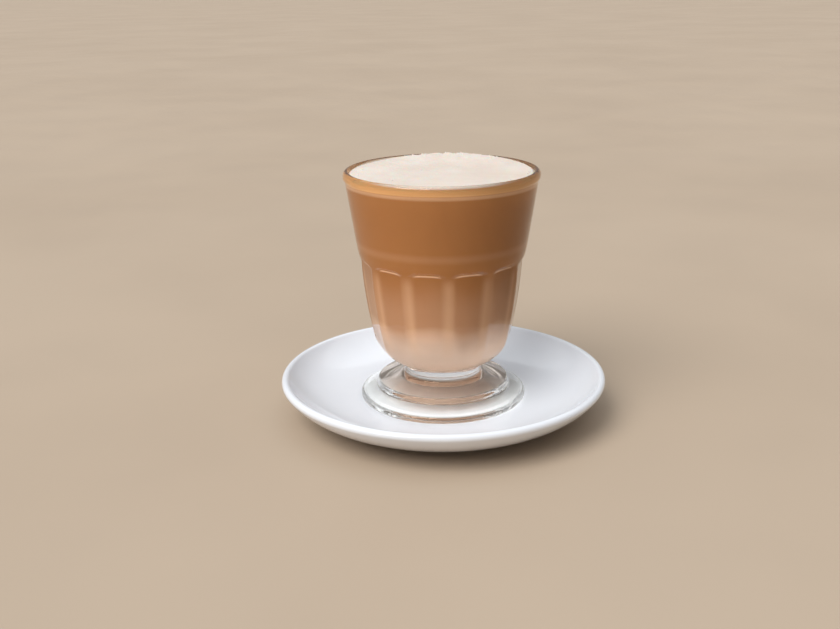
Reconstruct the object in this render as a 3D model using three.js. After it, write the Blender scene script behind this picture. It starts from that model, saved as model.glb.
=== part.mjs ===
// Raf coffee: a footed, panelled glass filled to the brim with layered coffee under milk foam,
// standing on a plain china saucer. Millimetres, +Z up.
// The origin is the middle of the saucer's foot ring, on the surface that the saucer stands on.
// Angle 0 faces -Y, and angles grow towards +X.
import * as THREE from "three";

const DEGREE = Math.PI / 180;

// Saucer. Heights are above the surface that it stands on.
const SAUCER_RADIUS = 76;
const SAUCER_HEIGHT = 19.6;
const SAUCER_EDGE = 1.9; // half the thickness of the rounded edge
const SAUCER_FLARE = 38 * DEGREE; // lean of the edge, from upright
const FLOOR_LEVEL = 8; // top of the flat middle, where the glass stands
const FLOOR_RADIUS = 43;
const RING_RADIUS = 47; // outside of the foot ring
const RING_WIDTH = 4.5;
const RING_HEIGHT = 3;
const RING_BEVEL = new THREE.Vector2(0.8, 1.2); // its outer corner leans out and up by this much
const UNDERSIDE_PULL = new THREE.Vector2(0.91, 0.37); // control point, as shares of radius and edge level
const DISH_PULLS = [0.87, 0.74]; // control points of the dish, outer and inner, as shares of the radius
const DISH_RISE = 3.4; // the outer one's height above the floor

// Glass. Heights are above the underside of its foot.
const GLASS_HEIGHT = 107.5;
const FOOT_RADIUS = 38.75; // lower disc of the foot
const FOOT_THICKNESS = 3.7; // at its rounded edge
const TIER_RADIUS = 30.7; // raised disc on top of it
const TIER_BASE = 6.8; // the lower disc slopes up to this level
const TIER_LEVEL = 9.4;
const PUNT_RADIUS = 35; // domed hollow under the foot
const PUNT_DEPTH = 6.5;
const STEM_RADIUS = 17.3;
const STEM_FILLET = 4.2;
const FILLET_START = 0.2; // the fillet starts above the tier by this share of its own size
const FILLET_PULL = 0.3; // its control point lies above the tier by this share
const STEM_LEVEL = 16.5; // where the stem meets the bowl
const BOWL_TURN_RADIUS = 31.9; // where the rounded bottom becomes the side
const BOWL_TURN_LEVEL = 30.5;
const BOWL_PULLS = [new THREE.Vector2(0.5, 0.2), new THREE.Vector2(0.92, 0.57)]; // shares of out and up
const SHOULDER_RADIUS = 36.6; // ridges between the panels, just under the shoulder
const SHOULDER_LEVEL = 60.5;
const SIDE_BULGE = 0.57; // the side swells this far beyond a straight line
const WALL_RADIUS = 37.9; // smooth wall, just above the shoulder
const WALL_LEVEL = 67.5;
const NECK_RADIUS = 43.3; // smooth wall, just under the lip
const NECK_LEVEL = 102.6;
const CREST_LEVEL = 75; // the wall rounds inwards below this level
const CREST_CURVE = 0.01; // by this much for each square millimetre under it
const LIP_RADIUS = 44.2;
const LIP_SWELL = 2.4; // the wall swells out to the lip over this height
const LIP_LOWER_PULL = new THREE.Vector2(0.2, 1.2); // control points of the swell, from the neck
const LIP_UPPER_PULL = 1;
const LIP_LEVEL = 105.4; // where the rounded top of the lip starts

// Panels pressed into the outside of the bowl.
const PANEL_COUNT = 12;
const RIDGE_ANGLE = 3 * DEGREE; // the first ridge between two panels
const PANEL_DEPTH = 1.2;
const RIDGE_SHARE = 0.3; // share of a half panel that its rounded ridge takes
const PANEL_FADE_FROM = 19;
const PANEL_FADE_TO = 33;
const ARCH_LEVEL = 68; // middle of the ledge at the top of a panel
const ARCH_DROP = 2.8; // the ledge is this much lower at the ridges
const LEDGE_HEIGHT = 2;

// Hollow of the glass: a straight taper that runs smoothly into an elliptical bottom.
const HOLLOW_FLOOR = 18.6;
const HOLLOW_ROUND = 30.6; // half the width of the ellipse
const HOLLOW_DEEP = 24.4; // half its height
const HOLLOW_TAPER = 9 * DEGREE;
const HOLLOW_CENTRE = HOLLOW_FLOOR + HOLLOW_DEEP;
const HOLLOW_TURN = Math.atan((Math.tan(HOLLOW_TAPER) * HOLLOW_DEEP) / HOLLOW_ROUND); // where the two meet

// Drink. It stays just clear of the glass, and its layers of one another.
const CLEARANCE = 0.3;
const DRINK_ROUND = HOLLOW_ROUND - CLEARANCE;
const DRINK_DEEP = HOLLOW_DEEP - CLEARANCE;
const MILK_LEVEL = 36; // top of the pale layer at the bottom
const FOAM_EDGE_LEVEL = 106.2; // top of the foam at the wall
const FOAM_EDGE_THICKNESS = 1.3;
const FOAM_DOME = 0.5; // the middle of the foam stands this much higher
const FOAM_DEPTH = 6; // thickness of the foam in the middle, under its edge's level
const FOAM_PULL = 0.55; // control point of its dished underside, as a share of the radius
const HEAP_HEIGHT = 1.9; // the foam is heaped up against the back of the rim
const HEAP_ANGLE = 168 * DEGREE;
const HEAP_SPREAD = 36 * DEGREE;
const HEAP_FROM = 12; // radius where the heap starts to rise

// Smoothness of the solids.
const GLASS_SEGMENTS = PANEL_COUNT * 6;
const SAUCER_SEGMENTS = 64;
const DRINK_SEGMENTS = 48;
const FOAM_RINGS = 6;
const CURVE_STEPS = 12;
const CURVE_TOLERANCE = 0.18; // a curve's points are left out while they are this close to a straight line

const smoothStep = (value, from, to) => THREE.MathUtils.smoothstep(value, from, to);
const mix = THREE.MathUtils.lerp;

// Turns an outline of (radius, height) points round the Z axis.
function turned(points, segments, firstAngle = 0) {
  return new THREE.LatheGeometry(points, segments, firstAngle).rotateX(Math.PI / 2);
}

// Points of a path, without those that a straight line between their neighbours can stand for.
function outlineOf(path) {
  return thinned(path.getPoints(CURVE_STEPS));
}

function thinned(points) {
  const first = points[0];
  const last = points[points.length - 1];
  const chord = new THREE.Line3(new THREE.Vector3(first.x, first.y), new THREE.Vector3(last.x, last.y));
  const nearest = new THREE.Vector3();
  let farthest = 0;
  let split = 0;
  for (let i = 1; i < points.length - 1; i++) {
    const point = new THREE.Vector3(points[i].x, points[i].y);
    const distance = chord.closestPointToPoint(point, true, nearest).distanceTo(point);
    if (distance <= farthest) continue;
    farthest = distance;
    split = i;
  }
  if (farthest < CURVE_TOLERANCE) return [first, last];
  return [...thinned(points.slice(0, split + 1)).slice(0, -1), ...thinned(points.slice(split))];
}

// How far an angle is from the middle of its panel: 0 in the middle, 1 on a ridge.
function panelOffset(angle) {
  const turns = ((angle - RIDGE_ANGLE) / (2 * Math.PI)) * PANEL_COUNT;
  return Math.abs(2 * (turns - Math.floor(turns)) - 1);
}

// The panelled side of the bowl, below the shoulder.
function sideRadius(height, offset) {
  const climb = (height - BOWL_TURN_LEVEL) / (SHOULDER_LEVEL - BOWL_TURN_LEVEL);
  const ridge = mix(BOWL_TURN_RADIUS, SHOULDER_RADIUS, climb) + SIDE_BULGE * 4 * climb * (1 - climb);
  return ridge - panelCut(height, offset);
}

function panelCut(height, offset) {
  const hollow = (1 - offset * offset) * smoothStep(1 - offset, 0, RIDGE_SHARE);
  return PANEL_DEPTH * hollow * smoothStep(height, PANEL_FADE_FROM, PANEL_FADE_TO);
}

// The smooth wall above the shoulder, straight above its crest and rounded inwards below it.
function wallRadius(height) {
  const climb = (height - WALL_LEVEL) / (NECK_LEVEL - WALL_LEVEL);
  const under = Math.max(0, CREST_LEVEL - height);
  return mix(WALL_RADIUS, NECK_RADIUS, climb) - CREST_CURVE * under ** 2;
}

// The whole outside between the bowl's turn and the neck: each panel ends in an arched ledge.
function bowlRadius(height, angle) {
  const offset = panelOffset(angle);
  const ledge = ARCH_LEVEL - ARCH_DROP * offset ** 4;
  const share = smoothStep(height, ledge - LEDGE_HEIGHT / 2, ledge + LEDGE_HEIGHT / 2);
  return mix(sideRadius(height, offset), wallRadius(height), share);
}

// Radius of the hollow where it tapers.
function hollowRadius(height) {
  const joint = HOLLOW_CENTRE - HOLLOW_DEEP * Math.sin(HOLLOW_TURN);
  return HOLLOW_ROUND * Math.cos(HOLLOW_TURN) + (height - joint) * Math.tan(HOLLOW_TAPER);
}

// Outline of the foot and the rounded bottom of the bowl, from the axis outwards and up.
function footOutline() {
  const round = FOOT_THICKNESS / 2;
  const step = TIER_LEVEL - TIER_BASE;
  const path = new THREE.Path();
  path.moveTo(0, PUNT_DEPTH);
  path.quadraticCurveTo(PUNT_RADIUS / 2, PUNT_DEPTH, PUNT_RADIUS, 0);
  path.lineTo(FOOT_RADIUS - round, 0);
  path.absarc(FOOT_RADIUS - round, round, round, -Math.PI / 2, Math.PI / 2);
  path.lineTo(TIER_RADIUS + step / 3, TIER_BASE - step / 6);
  path.quadraticCurveTo(TIER_RADIUS, TIER_BASE, TIER_RADIUS, TIER_BASE + step / 2);
  path.quadraticCurveTo(TIER_RADIUS, TIER_LEVEL, TIER_RADIUS - step / 2, TIER_LEVEL);
  path.lineTo(STEM_RADIUS + STEM_FILLET, TIER_LEVEL + STEM_FILLET * FILLET_START);
  path.quadraticCurveTo(
    STEM_RADIUS,
    TIER_LEVEL + STEM_FILLET * FILLET_PULL,
    STEM_RADIUS,
    TIER_LEVEL + STEM_FILLET,
  );
  path.lineTo(STEM_RADIUS, STEM_LEVEL);
  const pulls = BOWL_PULLS.flatMap((pull) => [
    mix(STEM_RADIUS, BOWL_TURN_RADIUS, pull.x),
    mix(STEM_LEVEL, BOWL_TURN_LEVEL, pull.y),
  ]);
  path.bezierCurveTo(...pulls, BOWL_TURN_RADIUS, BOWL_TURN_LEVEL);
  return outlineOf(path);
}

// Levels between the bowl's turn and the neck, close together at the ledge.
function bowlLevels() {
  const ledgeFrom = ARCH_LEVEL - ARCH_DROP - LEDGE_HEIGHT / 2;
  const ledgeTo = ARCH_LEVEL + LEDGE_HEIGHT / 2;
  const stretches = [
    [BOWL_TURN_LEVEL, ledgeFrom, 4],
    [ledgeFrom, ledgeTo, 6],
    [ledgeTo, CREST_LEVEL, 2],
    [CREST_LEVEL, NECK_LEVEL, 1],
  ];
  return stretches.flatMap(([from, to, steps]) =>
    Array.from({ length: steps }, (_, i) => mix(from, to, (i + 1) / steps)),
  );
}

// Outline of the lip and the hollow, from the neck over the top and down to the axis.
function lipAndHollowOutline() {
  const inside = hollowRadius(LIP_LEVEL);
  const half = (LIP_RADIUS - inside) / 2;
  const rise = GLASS_HEIGHT - LIP_LEVEL;
  const path = new THREE.Path();
  path.moveTo(NECK_RADIUS, NECK_LEVEL);
  path.bezierCurveTo(
    NECK_RADIUS + LIP_LOWER_PULL.x,
    NECK_LEVEL + LIP_LOWER_PULL.y,
    LIP_RADIUS,
    NECK_LEVEL + LIP_UPPER_PULL,
    LIP_RADIUS,
    NECK_LEVEL + LIP_SWELL,
  );
  path.lineTo(LIP_RADIUS, LIP_LEVEL);
  path.absellipse(inside + half, LIP_LEVEL, half, rise, 0, Math.PI);
  path.absellipse(0, HOLLOW_CENTRE, HOLLOW_ROUND, HOLLOW_DEEP, -HOLLOW_TURN, -Math.PI / 2, true);
  return outlineOf(path).slice(1);
}

function glassGeometry() {
  const foot = footOutline();
  const levels = bowlLevels();
  const bowl = levels.map((height) => new THREE.Vector2(bowlRadius(height, RIDGE_ANGLE), height));
  const outline = [...foot, ...bowl, ...lipAndHollowOutline()];
  const geometry = turned(outline, GLASS_SEGMENTS, RIDGE_ANGLE);
  pressPanels(geometry, outline.length, foot.length + bowl.length);
  return geometry;
}

// Moves the outside of the bowl in to its panels. Points come column by column, as the outline was turned.
function pressPanels(geometry, rows, outsideRows) {
  const position = geometry.getAttribute("position");
  for (let i = 0; i < position.count; i++) {
    const height = position.getZ(i);
    if (i % rows >= outsideRows || height < STEM_LEVEL) continue;
    const angle = Math.atan2(position.getX(i), -position.getY(i));
    const was = Math.hypot(position.getX(i), position.getY(i));
    const now =
      height < BOWL_TURN_LEVEL ? was - panelCut(height, panelOffset(angle)) : bowlRadius(height, angle);
    position.setXY(i, now * Math.sin(angle), -now * Math.cos(angle));
  }
}

// Side of the drink, parallel to the taper of the hollow.
function drinkRadius(height) {
  return hollowRadius(height) - CLEARANCE / Math.cos(HOLLOW_TAPER);
}

// Pale layer in the round bottom of the hollow.
function milkGeometry() {
  const end = Math.asin((MILK_LEVEL - HOLLOW_CENTRE) / DRINK_DEEP);
  const path = new THREE.Path();
  path.absellipse(0, HOLLOW_CENTRE, DRINK_ROUND, DRINK_DEEP, -Math.PI / 2, end);
  path.lineTo(0, MILK_LEVEL);
  return turned(outlineOf(path), DRINK_SEGMENTS);
}

// Coffee from the pale layer up to the dished underside of the foam.
function coffeeGeometry() {
  const bottom = MILK_LEVEL + CLEARANCE;
  const start = Math.asin((bottom - HOLLOW_CENTRE) / DRINK_DEEP);
  const top = FOAM_EDGE_LEVEL - FOAM_EDGE_THICKNESS - CLEARANCE;
  const middle = FOAM_EDGE_LEVEL - FOAM_DEPTH - CLEARANCE;
  const path = new THREE.Path();
  path.moveTo(0, bottom);
  path.lineTo(DRINK_ROUND * Math.cos(start), bottom);
  path.absellipse(0, HOLLOW_CENTRE, DRINK_ROUND, DRINK_DEEP, start, -HOLLOW_TURN);
  path.lineTo(drinkRadius(top), top);
  path.quadraticCurveTo(drinkRadius(top) * FOAM_PULL, middle, 0, middle);
  return turned(outlineOf(path), DRINK_SEGMENTS);
}

// Foam: a thin edge at the wall, dished below, slightly domed and heaped above.
function foamGeometry() {
  const bottom = FOAM_EDGE_LEVEL - FOAM_EDGE_THICKNESS;
  const middle = FOAM_EDGE_LEVEL - FOAM_DEPTH;
  const edge = drinkRadius(FOAM_EDGE_LEVEL);
  const path = new THREE.Path();
  path.moveTo(0, middle);
  path.quadraticCurveTo(drinkRadius(bottom) * FOAM_PULL, middle, drinkRadius(bottom), bottom);
  const top = Array.from({ length: FOAM_RINGS + 1 }, (_, i) => {
    const share = 1 - (i / FOAM_RINGS) ** 2;
    return new THREE.Vector2(edge * share, FOAM_EDGE_LEVEL + FOAM_DOME * (1 - share ** 2));
  });
  const geometry = turned([...outlineOf(path), ...top], DRINK_SEGMENTS);
  heapFoam(geometry, edge);
  return geometry;
}

// Raises the top of the foam towards the back of the rim.
function heapFoam(geometry, edge) {
  const position = geometry.getAttribute("position");
  for (let i = 0; i < position.count; i++) {
    const height = position.getZ(i);
    if (height < FOAM_EDGE_LEVEL - CLEARANCE) continue;
    const angle = Math.atan2(position.getX(i), -position.getY(i)) - HEAP_ANGLE;
    const round = Math.exp((Math.cos(angle) - 1) / HEAP_SPREAD ** 2);
    const outwards = smoothStep(Math.hypot(position.getX(i), position.getY(i)), HEAP_FROM, edge);
    position.setZ(i, height + HEAP_HEIGHT * round * outwards);
  }
}

// China saucer: foot ring, curved underside, rounded edge, curved inside and flat middle.
function saucerGeometry() {
  const ringInside = RING_RADIUS - RING_WIDTH;
  const edgeCentre = SAUCER_RADIUS - SAUCER_EDGE;
  const edgeLevel = SAUCER_HEIGHT - SAUCER_EDGE;
  const path = new THREE.Path();
  path.moveTo(0, RING_HEIGHT);
  path.lineTo(ringInside - RING_HEIGHT / 2, RING_HEIGHT);
  path.lineTo(ringInside, 0);
  path.lineTo(RING_RADIUS, 0);
  path.lineTo(RING_RADIUS + RING_BEVEL.x, RING_BEVEL.y);
  path.quadraticCurveTo(
    SAUCER_RADIUS * UNDERSIDE_PULL.x,
    edgeLevel * UNDERSIDE_PULL.y,
    edgeCentre + SAUCER_EDGE * Math.cos(SAUCER_FLARE),
    edgeLevel - SAUCER_EDGE * Math.sin(SAUCER_FLARE),
  );
  path.absarc(edgeCentre, edgeLevel, SAUCER_EDGE, -SAUCER_FLARE, Math.PI - SAUCER_FLARE);
  path.bezierCurveTo(
    SAUCER_RADIUS * DISH_PULLS[0],
    FLOOR_LEVEL + DISH_RISE,
    SAUCER_RADIUS * DISH_PULLS[1],
    FLOOR_LEVEL,
    FLOOR_RADIUS,
    FLOOR_LEVEL,
  );
  path.lineTo(0, FLOOR_LEVEL);
  return turned(outlineOf(path), SAUCER_SEGMENTS);
}

function piece(name, geometry, colour, roughness) {
  const material = new THREE.MeshStandardMaterial({ color: colour, roughness, metalness: 0 });
  const mesh = new THREE.Mesh(geometry, material);
  mesh.name = name;
  return mesh;
}

const saucer = piece("saucer", saucerGeometry(), 0xf2f1ee, 0.15);

const glass = piece("glass", glassGeometry(), 0xdfe6e4, 0.03);
glass.material.transparent = true;
glass.material.opacity = 0.35;

const drink = new THREE.Group();
drink.add(
  piece("milk_layer", milkGeometry(), 0xd1b59b, 0.4),
  piece("coffee", coffeeGeometry(), 0xa56d40, 0.4),
  piece("milk_foam", foamGeometry(), 0xf1e3d6, 0.7),
);

const filledGlass = new THREE.Group();
filledGlass.position.z = FLOOR_LEVEL;
filledGlass.add(glass, drink);

const rafCoffee = new THREE.Group();
rafCoffee.add(saucer, filledGlass);

export default rafCoffee;
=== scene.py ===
import math

import bmesh
import bpy
from mathutils import Euler, Matrix, Vector, noise
from mathutils.geometry import interpolate_bezier


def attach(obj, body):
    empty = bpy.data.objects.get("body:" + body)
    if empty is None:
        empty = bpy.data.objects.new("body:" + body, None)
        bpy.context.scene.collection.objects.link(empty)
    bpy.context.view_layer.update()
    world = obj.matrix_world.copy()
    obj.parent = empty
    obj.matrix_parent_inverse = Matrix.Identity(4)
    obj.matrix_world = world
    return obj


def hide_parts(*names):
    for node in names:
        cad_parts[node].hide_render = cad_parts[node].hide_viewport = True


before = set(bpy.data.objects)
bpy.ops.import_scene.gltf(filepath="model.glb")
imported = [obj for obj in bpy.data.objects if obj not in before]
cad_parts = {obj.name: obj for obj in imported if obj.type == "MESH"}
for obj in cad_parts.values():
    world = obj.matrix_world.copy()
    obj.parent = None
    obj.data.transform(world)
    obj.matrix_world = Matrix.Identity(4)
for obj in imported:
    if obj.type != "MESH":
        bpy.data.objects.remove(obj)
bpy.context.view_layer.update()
print("frame loaded:", ", ".join(sorted(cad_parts)))

mm = 0.001
onAxis = 1e-6  # a radius smaller than this lies on the axis
samePoint = 1e-4  # points of an outline that are nearer than this are one
sharpAngle = math.radians(38)  # corners sharper than this keep a hard edge
scene = bpy.context.scene


def mix(a, b, share):
    return a + (b - a) * share


def smoothStep(value, low, high):
    t = min(1.0, max(0.0, (value - low) / (high - low)))
    return t * t * (3 - 2 * t)


# an outline is a list of (radius, height) points in millimetres
def bend(points, controlA, controlB, end, steps):
    corners = [Vector((*p, 0)) for p in (points[-1], controlA, controlB, end)]
    points.extend((p.x, p.y) for p in interpolate_bezier(*corners, steps + 1)[1:])


def softBend(points, corner, end, steps):
    start = points[-1]
    controlA = [mix(s, c, 2 / 3) for s, c in zip(start, corner)]
    controlB = [mix(e, c, 2 / 3) for e, c in zip(end, corner)]
    bend(points, controlA, controlB, end, steps)


def arc(points, centre, radii, fromDegrees, toDegrees, steps):
    for i in range(steps + 1):
        angle = math.radians(mix(fromDegrees, toDegrees, i / steps))
        spot = (centre[0] + radii[0] * math.cos(angle), centre[1] + radii[1] * math.sin(angle))
        if math.dist(spot, points[-1]) > samePoint:
            points.append(spot)


def line(points, end, steps=1):
    start = points[-1]
    for i in range(1, steps + 1):
        points.append((mix(start[0], end[0], i / steps), mix(start[1], end[1], i / steps)))


def spotsRound(radius, segments):
    return 1 if radius < onAxis else segments


# turns an outline round the Z axis; ends that touch the axis become single points
def turnedMesh(name, outline, segments, lift=0.0):
    mesh = bpy.data.meshes.new(name)
    built = bmesh.new()
    rings = []
    for radius, height in outline:
        ring = []
        for k in range(spotsRound(radius, segments)):
            angle = 2 * math.pi * k / segments
            place = Vector((radius * math.sin(angle), -radius * math.cos(angle), height + lift)) * mm
            ring.append(built.verts.new(place))
        rings.append(ring)
    for lower, upper in zip(rings, rings[1:]):
        for k in range(segments):
            corners = [
                lower[k % len(lower)],
                lower[(k + 1) % len(lower)],
                upper[(k + 1) % len(upper)],
                upper[k % len(upper)],
            ]
            corners = list(dict.fromkeys(corners))
            if len(corners) > 2:
                built.faces.new(corners)
    bmesh.ops.recalc_face_normals(built, faces=built.faces)
    for face in built.faces:
        face.smooth = True
    built.to_mesh(mesh)
    built.free()
    mesh.set_sharp_from_angle(angle=sharpAngle)
    return mesh


def newObject(name, mesh, material=None):
    piece = bpy.data.objects.new(name, mesh)
    scene.collection.objects.link(piece)
    if material:
        mesh.materials.append(material)
    return piece


def settle(piece, node):
    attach(piece, "root")
    if node:
        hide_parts(node)


# node helpers: a number goes on the socket, a socket is linked
def feed(tree, socket, value):
    if isinstance(value, bpy.types.NodeSocket):
        tree.links.new(value, socket)
    elif value is not None:
        socket.default_value = value


def calc(tree, operation, a, b=None, c=None):
    step = tree.nodes.new("ShaderNodeMath")
    step.operation = operation
    for socket, value in zip(step.inputs, (a, b, c)):
        feed(tree, socket, value)
    return step.outputs[0]


def ramp(tree, value, low, high, toLow=0.0, toHigh=1.0):
    step = tree.nodes.new("ShaderNodeMapRange")
    step.interpolation_type = "SMOOTHSTEP"
    limits = {"Value": value, "From Min": low, "From Max": high, "To Min": toLow, "To Max": toHigh}
    for name, given in limits.items():
        feed(tree, step.inputs[name], given)
    return step.outputs["Result"]


def blendColours(tree, share, a, b):
    step = tree.nodes.new("ShaderNodeMix")  # its sockets 6, 7 and 2 are those for colours
    step.data_type = "RGBA"
    feed(tree, step.inputs["Factor"], share)
    feed(tree, step.inputs[6], a)
    feed(tree, step.inputs[7], b)
    return step.outputs[2]


def parts(tree, vector):
    split = tree.nodes.new("ShaderNodeSeparateXYZ")
    tree.links.new(vector, split.inputs[0])
    return split.outputs


def objectCoords(tree):
    return tree.nodes.new("ShaderNodeTexCoord").outputs["Object"]


def fromAxis(tree, place):
    squares = [calc(tree, "POWER", place[axis], 2.0) for axis in "XY"]
    return calc(tree, "SQRT", calc(tree, "ADD", *squares))


# angle about the axis: 0 at the front, growing towards +X
def frontAngle(tree, place):
    return calc(tree, "ARCTAN2", place["X"], calc(tree, "MULTIPLY", place["Y"], -1.0))


# how far an angle is from the middle of its panel: 0 in the middle, 1 on a ridge
def panelOffset(tree, angle, ridgeAngle, count):
    turns = calc(tree, "DIVIDE", calc(tree, "SUBTRACT", angle, ridgeAngle), 2 * math.pi)
    part = calc(tree, "FRACT", calc(tree, "MULTIPLY", turns, count))
    return calc(tree, "ABSOLUTE", calc(tree, "MULTIPLY_ADD", part, 2.0, -1.0))


archPower = 4.0  # the ledge over a panel drops steeply near the ridges


def ledgeLevel(tree, offset, archLevel, archDrop):
    dropped = calc(tree, "MULTIPLY", calc(tree, "POWER", offset, archPower), archDrop)
    return calc(tree, "SUBTRACT", archLevel, dropped)


def newSocket(tree, name, direction, kind, value=None):
    socket = tree.interface.new_socket(name=name, in_out=direction, socket_type="NodeSocket" + kind)
    if value is not None:
        socket.default_value = value


def endTree(tree, geometry, material):
    realize = tree.nodes.new("GeometryNodeRealizeInstances")
    paint = tree.nodes.new("GeometryNodeSetMaterial")
    tree.links.new(geometry, realize.inputs["Geometry"])
    tree.links.new(realize.outputs["Geometry"], paint.inputs["Geometry"])
    tree.links.new(material, paint.inputs["Material"])
    tree.links.new(paint.outputs["Geometry"], tree.nodes.new("NodeGroupOutput").inputs[0])


def modifierMesh(piece, tree, values):
    modifier = piece.modifiers.new(tree.name, "NODES")
    modifier.node_group = tree
    for item in tree.interface.items_tree:
        if item.in_out == "INPUT" and item.name in values:
            modifier[item.identifier] = values[item.name]
    evaluated = piece.evaluated_get(bpy.context.evaluated_depsgraph_get())
    finished = bpy.data.meshes.new_from_object(evaluated)
    finished.name = piece.name
    piece.modifiers.clear()
    piece.data = finished
    print(piece.name, "from", tree.name, ":", len(finished.vertices), "points")


# glass sizes in millimetres, heights above the underside of its foot; pulls are a curve's control points
glassShape = {
    "stand": 8.0,  # the glass stands this high, on the saucer's floor
    "height": 107.5,
    "foot": 38.75, "footThickness": 3.7,
    "tier": 30.7, "tierBase": 6.8, "tierLevel": 9.4,
    "punt": 35.0, "puntDepth": 6.5,
    "stem": 17.3, "stemLevel": 16.5,
    "stemFillet": 4.2, "filletStart": 0.2, "filletPull": 0.3,  # the last two as shares of the fillet
    "turn": 31.9, "turnLevel": 30.5,
    "turnPulls": ((0.5, 0.2), (0.92, 0.57)),  # shares of the way out and up from the stem
    "shoulder": 36.6, "shoulderLevel": 60.5, "sideBulge": 0.57,
    "wall": 37.9, "wallLevel": 67.5,
    "neck": 43.3, "neckLevel": 102.6,
    "crestLevel": 75.0, "crestCurve": 0.01,
    "lip": 44.2, "lipLevel": 105.4,
    "lipSwell": 2.4, "lipLowerPull": (0.2, 1.2), "lipUpperPull": 1.0,  # from the neck
    "hollowFloor": 18.6, "hollowRound": 30.6, "hollowDeep": 24.4, "hollowTaper": 9.0,
    "segments": 264, "bowlRows": 120,
}

# panels pressed into the bowl
panelShape = {
    "Panel Count": 12,
    "Ridge Angle": math.radians(3.0),
    "Panel Depth": 1.2 * mm,
    "Ridge Share": 0.3,
    "Fade From": 19.0 * mm, "Fade To": 33.0 * mm,
    "Arch Level": 68.0 * mm, "Arch Drop": 2.8 * mm, "Ledge Height": 2.0 * mm,
    "Stand": glassShape["stand"] * mm,
}


# the hollow is a cone that runs smoothly into an elliptical bottom
def hollowJoint():
    g = glassShape
    slope = math.tan(math.radians(g["hollowTaper"]))
    turn = math.atan(slope * g["hollowDeep"] / g["hollowRound"])
    return turn, g["hollowFloor"] + g["hollowDeep"] * (1 - math.sin(turn)), slope


def hollowRadius(height):
    g = glassShape
    turn, joint, slope = hollowJoint()
    if height > joint:
        return g["hollowRound"] * math.cos(turn) + (height - joint) * slope
    below = 1 - (height - g["hollowFloor"]) / g["hollowDeep"]
    return g["hollowRound"] * math.sqrt(max(0.0, 1 - below ** 2))


def sideRadius(height):
    g = glassShape
    climb = (height - g["turnLevel"]) / (g["shoulderLevel"] - g["turnLevel"])
    return mix(g["turn"], g["shoulder"], climb) + g["sideBulge"] * 4 * climb * (1 - climb)


def wallRadius(height):
    g = glassShape
    climb = (height - g["wallLevel"]) / (g["neckLevel"] - g["wallLevel"])
    under = max(0.0, g["crestLevel"] - height)
    return mix(g["wall"], g["neck"], climb) - g["crestCurve"] * under ** 2


def glassOutline():
    g = glassShape
    half = g["footThickness"] / 2
    step = g["tierLevel"] - g["tierBase"]
    fillet = g["stemFillet"]
    points = [(0.0, g["puntDepth"])]
    softBend(points, (g["punt"] / 2, g["puntDepth"]), (g["punt"], 0.0), steps=24)
    line(points, (g["foot"] - half, 0.0), steps=3)
    arc(points, (g["foot"] - half, half), (half, half), -90, 90, steps=18)
    line(points, (g["tier"] + step / 3, g["tierBase"] - step / 6), steps=4)
    softBend(points, (g["tier"], g["tierBase"]), (g["tier"], g["tierBase"] + step / 2), steps=6)
    softBend(points, (g["tier"], g["tierLevel"]), (g["tier"] - step / 2, g["tierLevel"]), steps=8)
    line(points, (g["stem"] + fillet, g["tierLevel"] + fillet * g["filletStart"]), steps=5)
    filletCorner = (g["stem"], g["tierLevel"] + fillet * g["filletPull"])
    softBend(points, filletCorner, (g["stem"], g["tierLevel"] + fillet), steps=10)
    line(points, (g["stem"], g["stemLevel"]), steps=3)
    stemRows = len(points)
    controls = [
        (mix(g["stem"], g["turn"], out), mix(g["stemLevel"], g["turnLevel"], up))
        for out, up in g["turnPulls"]
    ]
    bend(points, *controls, (g["turn"], g["turnLevel"]), steps=20)
    turnRows = len(points)
    for i in range(1, g["bowlRows"] + 1):
        height = mix(g["turnLevel"], g["neckLevel"], i / g["bowlRows"])
        points.append((wallRadius(height), height))
    bowlRows = len(points)
    out, up = g["lipLowerPull"]
    lowerPull = (g["neck"] + out, g["neckLevel"] + up)
    upperPull = (g["lip"], g["neckLevel"] + g["lipUpperPull"])
    bend(points, lowerPull, upperPull, (g["lip"], g["neckLevel"] + g["lipSwell"]), steps=10)
    line(points, (g["lip"], g["lipLevel"]), steps=3)
    middle = (g["lip"] + hollowRadius(g["lipLevel"])) / 2
    arc(points, (middle, g["lipLevel"]), (g["lip"] - middle, g["height"] - g["lipLevel"]), 0, 180, steps=20)
    turn, joint, _ = hollowJoint()
    line(points, (hollowRadius(joint), joint), steps=16)
    centre = (0.0, g["hollowFloor"] + g["hollowDeep"])
    arc(points, centre, (g["hollowRound"], g["hollowDeep"]), -math.degrees(turn), -90, steps=24)
    points[-1] = (0.0, g["hollowFloor"])
    return points, stemRows, turnRows, bowlRows


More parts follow.
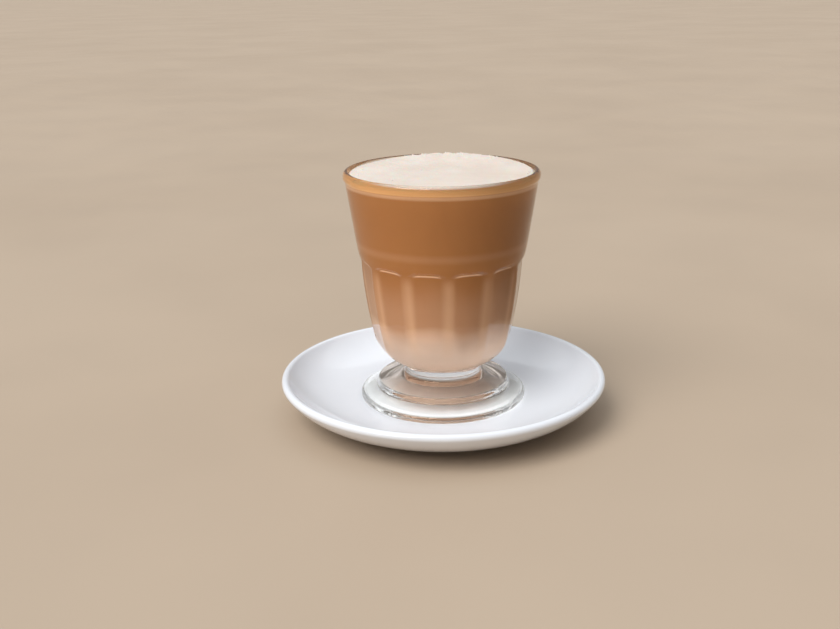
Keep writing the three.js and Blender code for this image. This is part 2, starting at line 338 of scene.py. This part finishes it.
# tree that presses the panels, each under an arched ledge, into the outside of a round blank
def pressPanelsTree():
    tree = bpy.data.node_groups.new("pressPanels", "GeometryNodeTree")
    newSocket(tree, "Geometry", "INPUT", "Geometry")
    for name in panelShape:
        newSocket(tree, name, "INPUT", "Int" if name == "Panel Count" else "Float")
    newSocket(tree, "Material", "INPUT", "Material")
    newSocket(tree, "Geometry", "OUTPUT", "Geometry")
    given = tree.nodes.new("NodeGroupInput").outputs

    place = parts(tree, tree.nodes.new("GeometryNodeInputPosition").outputs[0])
    angle = frontAngle(tree, place)
    offset = panelOffset(tree, angle, given["Ridge Angle"], given["Panel Count"])
    height = calc(tree, "SUBTRACT", place["Z"], given["Stand"])

    bowed = calc(tree, "SUBTRACT", 1.0, calc(tree, "MULTIPLY", offset, offset))
    clearOfRidge = ramp(tree, calc(tree, "SUBTRACT", 1.0, offset), 0.0, given["Ridge Share"])
    fade = ramp(tree, height, given["Fade From"], given["Fade To"])
    pressed = calc(tree, "MULTIPLY", bowed, clearOfRidge)
    cut = calc(tree, "MULTIPLY", pressed, calc(tree, "MULTIPLY", fade, given["Panel Depth"]))

    ledge = ledgeLevel(tree, offset, given["Arch Level"], given["Arch Drop"])
    halfLedge = calc(tree, "MULTIPLY", given["Ledge Height"], 0.5)
    share = ramp(tree, height, calc(tree, "SUBTRACT", ledge, halfLedge), calc(tree, "ADD", ledge, halfLedge))

    def pointValue(name, kind):
        read = tree.nodes.new("GeometryNodeInputNamedAttribute")
        read.data_type = kind
        read.inputs["Name"].default_value = name
        return read.outputs["Attribute"]

    panelled = calc(tree, "SUBTRACT", pointValue("sideRadius", "FLOAT"), cut)
    above = calc(tree, "SUBTRACT", pointValue("wallRadius", "FLOAT"), panelled)
    radius = calc(tree, "MULTIPLY_ADD", above, share, panelled)
    backwards = calc(tree, "MULTIPLY", calc(tree, "COSINE", angle), -1.0)
    moved = tree.nodes.new("ShaderNodeCombineXYZ")
    feed(tree, moved.inputs["X"], calc(tree, "MULTIPLY", radius, calc(tree, "SINE", angle)))
    feed(tree, moved.inputs["Y"], calc(tree, "MULTIPLY", radius, backwards))
    feed(tree, moved.inputs["Z"], place["Z"])
    press = tree.nodes.new("GeometryNodeSetPosition")
    tree.links.new(given["Geometry"], press.inputs["Geometry"])
    tree.links.new(pointValue("outside", "BOOLEAN"), press.inputs["Selection"])
    tree.links.new(moved.outputs[0], press.inputs["Position"])
    endTree(tree, press.outputs["Geometry"], given["Material"])
    return tree


def makeGlass(material):
    g = glassShape
    outline, stemRows, turnRows, bowlRows = glassOutline()
    mesh = turnedMesh("footedGlass", outline, g["segments"], g["stand"])
    rowOf = []
    for row, (radius, _) in enumerate(outline):
        rowOf.extend([row] * spotsRound(radius, g["segments"]))
    side = [outline[row][0] if row < turnRows else sideRadius(outline[row][1]) for row in rowOf]
    pointValues = {
        "sideRadius": ("FLOAT", [radius * mm for radius in side]),
        "wallRadius": ("FLOAT", [outline[row][0] * mm for row in rowOf]),
        "outside": ("BOOLEAN", [stemRows <= row < bowlRows for row in rowOf]),
    }
    for name, (kind, values) in pointValues.items():
        mesh.attributes.new(name, kind, "POINT").data.foreach_set("value", values)
    piece = newObject("footedGlass", mesh)
    modifierMesh(piece, pressPanelsTree(), {**panelShape, "Material": material})
    settle(piece, "glass")


# what fills the glass; its skin lies just inside the wall, so no gap of air shows
drinkShape = {
    "intoWall": 0.08,
    "milkLevel": 36.0, "milkRows": 24, "coffeeRows": 60,
    "foamUnder": 104.9, "foamDepth": 6.0, "underPull": 0.55,
    "foamEdge": 106.2, "foamRound": 0.5,
    "foamDome": 0.5, "domePulls": ((0.8, 0.3), (0.4, 1.0)),  # shares of the radius and of the dome
    "heap": 1.9, "heapAngle": 168.0, "heapSpread": 36.0, "heapFrom": 12.0,  # against the back of the rim
    "heapBumps": 0.5, "bumpsEach": 0.35,
    "segments": 192,
}


def drinkEdge(height):
    return hollowRadius(height) + drinkShape["intoWall"]


def drinkMesh(name, outline):
    return turnedMesh(name, outline, drinkShape["segments"], glassShape["stand"])


def makeMilk(material):
    d = drinkShape
    floor = glassShape["hollowFloor"] - d["intoWall"]
    points = [(0.0, floor)]
    for i in range(1, d["milkRows"] + 1):
        height = mix(floor, d["milkLevel"], (i / d["milkRows"]) ** 2)
        points.append((drinkEdge(height), height))
    line(points, (0.0, d["milkLevel"]), steps=4)
    piece = newObject("paleMilkLayer", drinkMesh("paleMilkLayer", points), material)
    settle(piece, "milk_layer")


def makeCoffee(material):
    d = drinkShape
    middle = d["foamEdge"] - d["foamDepth"]
    points = [(0.0, d["milkLevel"])]
    line(points, (drinkEdge(d["milkLevel"]), d["milkLevel"]), steps=4)
    for i in range(1, d["coffeeRows"] + 1):
        height = mix(d["milkLevel"], d["foamUnder"], i / d["coffeeRows"])
        points.append((drinkEdge(height), height))
    softBend(points, (points[-1][0] * d["underPull"], middle), (0.0, middle), steps=16)
    piece = newObject("milkyCoffee", drinkMesh("milkyCoffee", points), material)
    settle(piece, "coffee")


def foamHeap(place, rim):
    d = drinkShape
    angle = math.atan2(place.x, -place.y) - math.radians(d["heapAngle"])
    share = math.exp((math.cos(angle) - 1) / math.radians(d["heapSpread"]) ** 2)
    share *= smoothStep(math.hypot(place.x, place.y), d["heapFrom"], rim)
    return share * (d["heap"] + d["heapBumps"] * noise.noise(place * d["bumpsEach"]))


def makeFoam(material):
    d = drinkShape
    middle = d["foamEdge"] - d["foamDepth"]
    edge = drinkEdge(d["foamUnder"])
    points = [(0.0, middle)]
    softBend(points, (edge * d["underPull"], middle), (edge, d["foamUnder"]), steps=16)
    rim = drinkEdge(d["foamEdge"])
    line(points, (rim, d["foamEdge"] - d["foamRound"]), steps=4)
    softBend(points, (rim, d["foamEdge"]), (rim - d["foamRound"], d["foamEdge"]), steps=6)
    top = d["foamEdge"] + d["foamDome"]
    controls = [(rim * out, mix(d["foamEdge"], top, up)) for out, up in d["domePulls"]]
    bend(points, *controls, (0.0, top), steps=24)
    mesh = drinkMesh("milkFoam", points)
    for point in mesh.vertices:
        if point.co.z > (glassShape["stand"] + d["foamEdge"] - d["foamRound"] / 2) * mm:
            point.co.z += foamHeap(point.co / mm, rim) * mm
    piece = newObject("milkFoam", mesh, material)
    settle(piece, "milk_foam")
    return piece


# saucer sizes in millimetres, heights above the face that it stands on; pulls are a curve's control points
saucerShape = {
    "radius": 76.0, "height": 19.6, "edge": 1.9, "flare": 38.0,
    "floor": 43.0, "floorLevel": 8.0,
    "ring": 47.0, "ringWidth": 4.5, "ringHeight": 3.0,
    "slopeFrom": 0.9, "slopePull": 0.4,  # inside of the ring, as shares of its height
    "innerToe": 0.4, "toePull": 0.1, "toeWidth": 0.8,
    "outerToe": (0.5, 0.7), "ringBevel": (0.8, 1.2),
    "underPull": (0.91, 0.37),  # shares of the radius and of the edge's level
    "dishPulls": (0.87, 0.74), "dishRise": 3.4,  # shares of the radius, and millimetres above the floor
    "segments": 256,
}


def makeSaucer(material):
    s = saucerShape
    lean = math.radians(s["flare"])
    ring, ringHeight = s["ring"], s["ringHeight"]
    inside = ring - s["ringWidth"]
    centre = (s["radius"] - s["edge"], s["height"] - s["edge"])
    points = [(0.0, ringHeight)]
    line(points, (inside - ringHeight * s["slopeFrom"], ringHeight), steps=6)
    softBend(points, (inside - ringHeight * s["slopePull"], ringHeight), (inside, s["innerToe"]), steps=8)
    softBend(points, (inside + s["toePull"], 0.0), (inside + s["toeWidth"], 0.0), steps=4)
    line(points, (ring - s["toeWidth"], 0.0), steps=2)
    softBend(points, (ring, 0.0), (ring + s["outerToe"][0], s["outerToe"][1]), steps=5)
    line(points, (ring + s["ringBevel"][0], s["ringBevel"][1]))
    outside = (centre[0] + s["edge"] * math.cos(lean), centre[1] - s["edge"] * math.sin(lean))
    softBend(points, (s["radius"] * s["underPull"][0], centre[1] * s["underPull"][1]), outside, steps=28)
    arc(points, centre, (s["edge"],) * 2, -s["flare"], 180 - s["flare"], steps=18)
    level = s["floorLevel"]
    outerPull = (s["radius"] * s["dishPulls"][0], level + s["dishRise"])
    innerPull = (s["radius"] * s["dishPulls"][1], level)
    bend(points, outerPull, innerPull, (s["floor"], level), steps=32)
    line(points, (0.0, level), steps=8)
    piece = newObject("chinaSaucer", turnedMesh("chinaSaucer", points, s["segments"]), material)
    settle(piece, "saucer")


# small bubbles in the foam, most of them along its edge
bubbleShape = {
    "Density": 160000.0,  # for each square metre, at the edge
    "Middle Share": 0.004,  # of that density
    "Facing Up": 0.35,  # least upward part of the foam's normal
    "Smallest": 0.12 * mm, "Largest": 0.42 * mm,
    "Edge From": 36.5 * mm, "Edge To": 40.6 * mm,
    "Seed": 7,
}


def bubblesTree():
    tree = bpy.data.node_groups.new("foamBubbles", "GeometryNodeTree")
    newSocket(tree, "Geometry", "INPUT", "Geometry")
    for name in bubbleShape:
        newSocket(tree, name, "INPUT", "Int" if name == "Seed" else "Float")
    newSocket(tree, "Material", "INPUT", "Material")
    newSocket(tree, "Geometry", "OUTPUT", "Geometry")
    given = tree.nodes.new("NodeGroupInput").outputs
    place = parts(tree, tree.nodes.new("GeometryNodeInputPosition").outputs[0])
    limits = (given["Edge From"], given["Edge To"])
    nearEdge = ramp(tree, fromAxis(tree, place), *limits, given["Middle Share"], 1.0)
    facing = parts(tree, tree.nodes.new("GeometryNodeInputNormal").outputs[0])
    scatter = tree.nodes.new("GeometryNodeDistributePointsOnFaces")
    tree.links.new(given["Geometry"], scatter.inputs["Mesh"])
    tree.links.new(calc(tree, "GREATER_THAN", facing["Z"], given["Facing Up"]), scatter.inputs["Selection"])
    tree.links.new(calc(tree, "MULTIPLY", given["Density"], nearEdge), scatter.inputs["Density"])
    tree.links.new(given["Seed"], scatter.inputs["Seed"])
    ball = tree.nodes.new("GeometryNodeMeshIcoSphere")
    ball.inputs["Radius"].default_value = 1.0
    ball.inputs["Subdivisions"].default_value = 2
    smooth = tree.nodes.new("GeometryNodeSetShadeSmooth")
    tree.links.new(ball.outputs["Mesh"], smooth.inputs["Geometry"])
    size = tree.nodes.new("FunctionNodeRandomValue")  # its sockets 2, 3 and 1 are those for plain numbers
    tree.links.new(given["Smallest"], size.inputs[2])
    tree.links.new(given["Largest"], size.inputs[3])
    tree.links.new(given["Seed"], size.inputs["Seed"])
    copies = tree.nodes.new("GeometryNodeInstanceOnPoints")
    tree.links.new(scatter.outputs["Points"], copies.inputs["Points"])
    tree.links.new(smooth.outputs["Geometry"], copies.inputs["Instance"])
    tree.links.new(size.outputs[1], copies.inputs["Scale"])
    endTree(tree, copies.outputs["Instances"], given["Material"])
    return tree


def makeBubbles(foam, material):
    piece = newObject("foamBubbles", foam.data.copy())
    modifierMesh(piece, bubblesTree(), {**bubbleShape, "Material": material})
    settle(piece, None)


cloudRange = (0.3, 0.7)  # the part of the noise that is stretched over the whole range


# shader group that several finishes share: soft cloudy unevenness on the object's own coordinates
def unevennessGroup():
    tree = bpy.data.node_groups.new("unevenness", "ShaderNodeTree")
    newSocket(tree, "Scale", "INPUT", "Float", 50.0)
    newSocket(tree, "Detail", "INPUT", "Float", 3.0)
    newSocket(tree, "Low", "INPUT", "Float", 0.0)
    newSocket(tree, "High", "INPUT", "Float", 1.0)
    newSocket(tree, "Value", "OUTPUT", "Float")
    given = tree.nodes.new("NodeGroupInput").outputs
    cloud = tree.nodes.new("ShaderNodeTexNoise")
    tree.links.new(objectCoords(tree), cloud.inputs["Vector"])
    tree.links.new(given["Scale"], cloud.inputs["Scale"])
    tree.links.new(given["Detail"], cloud.inputs["Detail"])
    value = ramp(tree, cloud.outputs[0], *cloudRange, given["Low"], given["High"])
    tree.links.new(value, tree.nodes.new("NodeGroupOutput").inputs["Value"])
    return tree


# shader group for both layers of the drink: pale at the bottom, brown above, with a wavy change between
# them, with painted lines of light and a painted glow for the pale layer
drinkTone = {
    "Pale": (0.92, 0.68, 0.53, 1.0),
    "Coffee": (0.40, 0.172, 0.060, 1.0),
    "Caramel": (0.69, 0.365, 0.15, 1.0),
    "Stand": 8.0 * mm,
    "Change Level": 26.4 * mm,
    "Change Height": 21.0 * mm,
    "Waviness": 7.0 * mm,
    "Swirl": 1.0 * mm,
    "Swirl Count": 6.0,
    "Swirl Angle": math.radians(-12.0),
    "Drift": 0.17, "Drift Height": 20.0 * mm,
    # painted light: the colour of lighter lines painted into the drink, and where and how strongly each
    # shows
    "Painted Light": (0.84, 0.55, 0.35, 1.0),
    "Ridge Count": 12.0,
    "Ridge Angle": math.radians(3.0),
    "Ridge Painted Light": 0.3,
    "Ridge Bottom": 24.0 * mm, "Ridge Rise": 10.0 * mm,
    "Ridge Top": 68.5 * mm, "Ridge Fall": 8.0 * mm,
    "Arch Level": 67.4 * mm, "Arch Drop": 2.8 * mm,
    "Arch Painted Light": 0.85,
    "Crest Level": 75.0 * mm, "Crest Width": 3.0 * mm,
    "Crest Painted Light": 0.12,
    "Edge Level": 103.8 * mm, "Edge Height": 1.0 * mm,
    "Lip Line": 102.2 * mm, "Lip Painted Light": 0.4,
}
# noise under the waves, stretched upright, and the limits between which the painted lines of light fade
toneDetail = {
    "waveScale": 48.0, "waveDetail": 2.0, "waveDistortion": 0.6,
    "waveStretch": (1.0, 1.0, 0.25), "waveShift": (0.03, 0.01, 0.0),
    "ridgeFade": (0.55, 1.05), "archFade": (0.4, 0.8),  # distance from the middle of a panel
    "archLine": (0.2 * mm, 0.9 * mm), "lipLine": (0.3 * mm, 1.5 * mm),
}


def drinkToneGroup():
    detail = toneDetail
    tree = bpy.data.node_groups.new("drinkTone", "ShaderNodeTree")
    for name, value in drinkTone.items():
        newSocket(tree, name, "INPUT", "Color" if isinstance(value, tuple) else "Float", value)
    newSocket(tree, "Colour", "OUTPUT", "Color")
    newSocket(tree, "Milk Painted Glow", "OUTPUT", "Color")
    given = tree.nodes.new("NodeGroupInput").outputs
    coords = objectCoords(tree)
    place = parts(tree, coords)
    height = calc(tree, "SUBTRACT", place["Z"], given["Stand"])
    angle = frontAngle(tree, place)

    def awayFrom(level):
        return calc(tree, "ABSOLUTE", calc(tree, "SUBTRACT", height, level))

    # pale layer: its top rises and falls round the glass and swirls a little
    cloud = tree.nodes.new("ShaderNodeTexNoise")
    upright = tree.nodes.new("ShaderNodeVectorMath")
    upright.operation = "MULTIPLY_ADD"
    upright.inputs[1].default_value = detail["waveStretch"]
    upright.inputs[2].default_value = detail["waveShift"]
    tree.links.new(coords, upright.inputs[0])
    tree.links.new(upright.outputs[0], cloud.inputs["Vector"])
    cloud.inputs["Scale"].default_value = detail["waveScale"]
    cloud.inputs["Detail"].default_value = detail["waveDetail"]
    cloud.inputs["Distortion"].default_value = detail["waveDistortion"]
    wave = calc(tree, "MULTIPLY", calc(tree, "SUBTRACT", cloud.outputs[0], 0.5), given["Waviness"])
    turn = calc(tree, "MULTIPLY", calc(tree, "SUBTRACT", angle, given["Swirl Angle"]), given["Swirl Count"])
    swirl = calc(tree, "MULTIPLY", calc(tree, "COSINE", turn), given["Swirl"])
    level = calc(tree, "ADD", given["Change Level"], calc(tree, "ADD", wave, swirl))
    top = calc(tree, "ADD", level, given["Change Height"])
    pale = ramp(tree, height, level, top, 1.0, 0.0)
    drift = ramp(tree, height, top, calc(tree, "ADD", top, given["Drift Height"]), given["Drift"], 0.0)

    # painted light: lighter lines in the drink's colour behind the glass's ridges, under its arched ledges
    # and at its crest and lip, standing in for light that the glass gathers there
    offset = panelOffset(tree, angle, given["Ridge Angle"], given["Ridge Count"])
    onRidge = ramp(tree, offset, *detail["ridgeFade"], 0.0, given["Ridge Painted Light"])
    risen = calc(tree, "ADD", given["Ridge Bottom"], given["Ridge Rise"])
    rise = ramp(tree, height, given["Ridge Bottom"], risen)
    falling = calc(tree, "SUBTRACT", given["Ridge Top"], given["Ridge Fall"])
    fall = ramp(tree, height, falling, given["Ridge Top"], 1.0, 0.0)
    ridge = calc(tree, "MULTIPLY", onRidge, calc(tree, "MULTIPLY", rise, fall))
    ledge = ledgeLevel(tree, offset, given["Arch Level"], given["Arch Drop"])
    onArch = ramp(tree, awayFrom(ledge), *detail["archLine"], given["Arch Painted Light"], 0.0)
    arch = calc(tree, "MULTIPLY", onArch, ramp(tree, offset, *detail["archFade"], 1.0, 0.0))
    crest = ramp(tree, awayFrom(given["Crest Level"]), 0.0, given["Crest Width"], given["Crest Painted Light"], 0.0)
    lip = ramp(tree, awayFrom(given["Lip Line"]), *detail["lipLine"], given["Lip Painted Light"], 0.0)
    paintedLight = calc(tree, "MAXIMUM", calc(tree, "MAXIMUM", ridge, lip), calc(tree, "MAXIMUM", arch, crest))

    body = blendColours(tree, calc(tree, "MAXIMUM", pale, drift), given["Coffee"], given["Pale"])
    body = blendColours(tree, paintedLight, body, given["Painted Light"])
    edgeFrom = calc(tree, "SUBTRACT", given["Edge Level"], given["Edge Height"])
    tone = blendColours(tree, ramp(tree, height, edgeFrom, given["Edge Level"]), body, given["Caramel"])
    result = tree.nodes.new("NodeGroupOutput").inputs
    tree.links.new(tone, result["Colour"])
    # painted glow: the pale layer's colour, put out for its emission
    feed(tree, result["Milk Painted Glow"], blendColours(tree, pale, (0, 0, 0, 1), given["Pale"]))
    return tree


def newMaterial(name):
    material = bpy.data.materials.new(name)
    material.use_nodes = True
    return material, material.node_tree, material.node_tree.nodes["Principled BSDF"].inputs


def placeGroup(tree, group, **values):
    placed = tree.nodes.new("ShaderNodeGroup")
    placed.node_tree = group
    for name, value in values.items():
        placed.inputs[name].default_value = value
    return placed.outputs[0] if len(placed.outputs) == 1 else placed.outputs


def bumpy(tree, shader, height, strength, distance):
    bump = tree.nodes.new("ShaderNodeBump")
    bump.inputs["Strength"].default_value = strength
    bump.inputs["Distance"].default_value = distance
    tree.links.new(height, bump.inputs["Height"])
    tree.links.new(bump.outputs["Normal"], shader["Normal"])


# pressed glass; a pair of lengths is where a tint starts and ends, from the axis or up from the floor; the
# foot's brown tints are painted shade, and the brown tint of reflections is a painted reflection
glassFinish = {
    "clear": ((0.965, 0.98, 0.972, 1), (0.985, 0.992, 0.988, 1)),
    "paintedReflectionTint": (0.6, 0.48, 0.38, 1),
    "footRing": (0.90, 0.90, 0.88, 1), "footMiddlePaintedShade": (0.73, 0.68, 0.63, 1), "tierTopPaintedShade": (0.58, 0.46, 0.38, 1),
    "lampClear": (0.98, 0.98, 0.97, 1), "lampMiddle": (0.45, 0.42, 0.40, 1),
    "footLevels": (22.5 * mm, 27.5 * mm), "middleReach": (23.0 * mm, 28.0 * mm),
    "tierReach": (29.5 * mm, 30.5 * mm),
    "tierFrom": (15.5 * mm, 16.5 * mm), "tierTo": (18.5 * mm, 21.5 * mm),
}


def clearGlass(unevenness):
    f = glassFinish
    material, tree, shader = newMaterial("clearGlass")
    tint = placeGroup(tree, unevenness, Scale=30.0, Low=0.0, High=1.0)
    clear = blendColours(tree, tint, *f["clear"])
    feed(tree, shader["Roughness"], placeGroup(tree, unevenness, Scale=70.0, Low=0.0, High=0.035))
    shader["IOR"].default_value = 1.5
    # painted reflection: the glass's reflections are tinted brown, standing in for brown surroundings
    shader["Specular Tint"].default_value = f["paintedReflectionTint"]
    shader["Transmission Weight"].default_value = 1.0
    waves = placeGroup(tree, unevenness, Scale=55.0, Detail=1.0)
    bumpy(tree, shader, waves, strength=0.12, distance=0.2 * mm)
    place = parts(tree, objectCoords(tree))
    outwards = fromAxis(tree, place)
    low = ramp(tree, place["Z"], *f["footLevels"], 1.0, 0.0)
    inFoot = ramp(tree, outwards, *f["middleReach"], 1.0, 0.0)
    thick = calc(tree, "MULTIPLY", inFoot, low)  # the foot's thick middle; its glass is tinted brown there as painted shade, standing in for shade under the bowl and the drink's brown seen through it, and lamps are dimmed through it
    footTintAndPaintedShade = blendColours(tree, thick, f["footRing"], f["footMiddlePaintedShade"])
    # painted shade: the top of the foot's step is tinted a darker brown, standing in for dark surroundings
    # seen through it
    overTier = ramp(tree, outwards, *f["tierReach"], 1.0, 0.0)
    onTier = calc(tree, "MULTIPLY", overTier, ramp(tree, place["Z"], *f["tierFrom"]))
    onTier = calc(tree, "MULTIPLY", onTier, ramp(tree, place["Z"], *f["tierTo"], 1.0, 0.0))
    footTintAndPaintedShade = blendColours(tree, onTier, footTintAndPaintedShade, f["tierTopPaintedShade"])
    feed(tree, shader["Base Color"], blendColours(tree, low, clear, footTintAndPaintedShade))
    lampLight = tree.nodes.new("ShaderNodeBsdfTransparent")  # lamps shine through to the drink
    feed(tree, lampLight.inputs["Color"], blendColours(tree, thick, f["lampClear"], f["lampMiddle"]))
    both = tree.nodes.new("ShaderNodeMixShader")
    tree.links.new(tree.nodes.new("ShaderNodeLightPath").outputs["Is Shadow Ray"], both.inputs[0])
    tree.links.new(tree.nodes["Principled BSDF"].outputs[0], both.inputs[1])
    tree.links.new(lampLight.outputs[0], both.inputs[2])
    tree.links.new(both.outputs[0], tree.nodes["Material Output"].inputs["Surface"])
    return material


def drinkMaterial(name, tone, unevenness):
    material, tree, shader = newMaterial(name)
    tones = placeGroup(tree, tone)
    feed(tree, shader["Base Color"], tones["Colour"])
    feed(tree, shader["Emission Color"], tones["Milk Painted Glow"])
    shader["Emission Strength"].default_value = 0.13  # painted glow: the pale layer gives off light, standing in for light scattered through the milk
    feed(tree, shader["Roughness"], placeGroup(tree, unevenness, Scale=120.0, Low=0.4, High=0.6))
    shader["Specular IOR Level"].default_value = 0.0  # it wets the glass, so nothing glints between them
    return material


foamFinish = {
    "cream": ((0.70, 0.61, 0.54, 1), (0.75, 0.68, 0.62, 1)),
    "side": (0.73, 0.40, 0.175, 1), "sideTo": (0.85, 0.45),  # millimetres under the foam's edge
}


def foamMaterial(unevenness):
    f = foamFinish
    material, tree, shader = newMaterial("milkFoamCream")
    cloud = placeGroup(tree, unevenness, Scale=38.0, Detail=4.0)
    cream = blendColours(tree, cloud, *f["cream"])
    place = parts(tree, objectCoords(tree))
    edge = glassShape["stand"] + drinkShape["foamEdge"]
    above = ramp(tree, place["Z"], *((edge - under) * mm for under in f["sideTo"]))
    feed(tree, shader["Base Color"], blendColours(tree, above, f["side"], cream))
    feed(tree, shader["Roughness"], placeGroup(tree, unevenness, Scale=300.0, Low=0.45, High=0.7))
    shader["Subsurface Weight"].default_value = 0.25
    shader["Subsurface Scale"].default_value = 1.5 * mm
    shader["Specular IOR Level"].default_value = 0.25
    grain = placeGroup(tree, unevenness, Scale=900.0, Detail=4.0)
    bumpy(tree, shader, grain, strength=0.25, distance=0.1 * mm)
    return material


chinaFinish = {
    "white": ((0.80, 0.845, 0.925, 1), (0.83, 0.875, 0.955, 1)),
    "glaze": 0.4, "glazeRoughness": 0.05,
}


def chinaMaterial(unevenness):
    f = chinaFinish
    material, tree, shader = newMaterial("whiteChina")
    cloud = placeGroup(tree, unevenness, Scale=22.0, Detail=4.0)
    feed(tree, shader["Base Color"], blendColours(tree, cloud, *f["white"]))
    feed(tree, shader["Roughness"], placeGroup(tree, unevenness, Scale=60.0, Low=0.1, High=0.2))
    shader["Coat Weight"].default_value = f["glaze"]
    shader["Coat Roughness"].default_value = f["glazeRoughness"]
    ripple = placeGroup(tree, unevenness, Scale=140.0, Detail=2.0)
    bumpy(tree, shader, ripple, strength=0.05, distance=0.2 * mm)
    return material


# studio: wide pale floor, a broad soft key from the upper left, a soft light from above, a dim ceiling
studio = {
    "floor": ((0.45, 0.358, 0.272, 1), (0.48, 0.385, 0.295, 1)), "floorHalf": 14.0,
    "suns": {
        "keyLight": {
            "from": (-0.52, -0.55, 0.82), "strength": 2.45, "spread": 40, "colour": (1.0, 0.97, 0.93),
        },
        "topLight": {
            "from": (-0.05, 0.1, 1.0), "strength": 1.3, "spread": 100, "colour": (0.92, 0.97, 1.0),
        },
    },
    "horizon": (0.46, 0.41, 0.36, 1), "ceiling": (0.26, 0.25, 0.24, 1), "ceilingRise": (0.02, 0.2),
    "bounces": 32, "glossyBounces": 24,  # light runs a long way inside the thick foot
}


def makeStudio(unevenness):
    s = studio
    half = s["floorHalf"]
    mesh = bpy.data.meshes.new("floor")
    corners = [(-half, -half, 0), (half, -half, 0), (half, half, 0), (-half, half, 0)]
    mesh.from_pydata(corners, [], [(0, 1, 2, 3)])
    material, tree, shader = newMaterial("paleFloor")
    cloud = placeGroup(tree, unevenness, Scale=3.0, Detail=4.0)
    feed(tree, shader["Base Color"], blendColours(tree, cloud, *s["floor"]))
    feed(tree, shader["Roughness"], placeGroup(tree, unevenness, Scale=12.0, Low=0.6, High=0.75))
    newObject("floor", mesh, material)
    for name, sun in s["suns"].items():
        light = bpy.data.lights.new(name, "SUN")
        light.energy = sun["strength"]
        light.angle = math.radians(sun["spread"])
        light.color = sun["colour"]
        holder = bpy.data.objects.new(name, light)
        holder.location = sun["from"]
        holder.rotation_euler = (-Vector(sun["from"])).to_track_quat("-Z", "Y").to_euler()
        scene.collection.objects.link(holder)
    world = bpy.data.worlds.new("studioAir")
    world.use_nodes = True
    tree = world.node_tree
    way = parts(tree, tree.nodes.new("ShaderNodeTexCoord").outputs["Generated"])
    upwards = ramp(tree, way["Z"], *s["ceilingRise"])
    sky = blendColours(tree, upwards, s["horizon"], s["ceiling"])
    feed(tree, tree.nodes["Background"].inputs["Color"], sky)
    scene.world = world
    scene.view_settings.view_transform = "Standard"
    scene.cycles.max_bounces = s["bounces"]
    scene.cycles.glossy_bounces = s["glossyBounces"]
    scene.cycles.transmission_bounces = s["bounces"]


# camera at the photograph's place: millimetres, degrees below the horizon
cameraSetup = {"place": (-10.5, -465.3, 196.7), "pitch": 17.81, "roll": -0.8, "lens": 44.914, "sensor": 36.0}


def makeCamera():
    c = cameraSetup
    view = bpy.data.cameras.new("camera")
    view.sensor_width = c["sensor"]
    view.lens = c["lens"]
    view.clip_start = 10 * mm
    holder = bpy.data.objects.new("camera", view)
    holder.location = Vector(c["place"]) * mm
    turn = Euler((math.radians(90 - c["pitch"]), 0, 0)).to_matrix()
    holder.rotation_euler = (turn @ Matrix.Rotation(math.radians(c["roll"]), 3, "Z")).to_euler()
    scene.collection.objects.link(holder)
    scene.camera = holder


makeCamera()
unevenness = unevennessGroup()
makeStudio(unevenness)
print("camera and studio ready")

tone = drinkToneGroup()
foamCream = foamMaterial(unevenness)
makeSaucer(chinaMaterial(unevenness))
makeMilk(drinkMaterial("paleMilk", tone, unevenness))
makeCoffee(drinkMaterial("milkyCoffee", tone, unevenness))
foam = makeFoam(foamCream)
makeBubbles(foam, foamCream)
makeGlass(clearGlass(unevenness))
print("saucer, drink and glass ready")
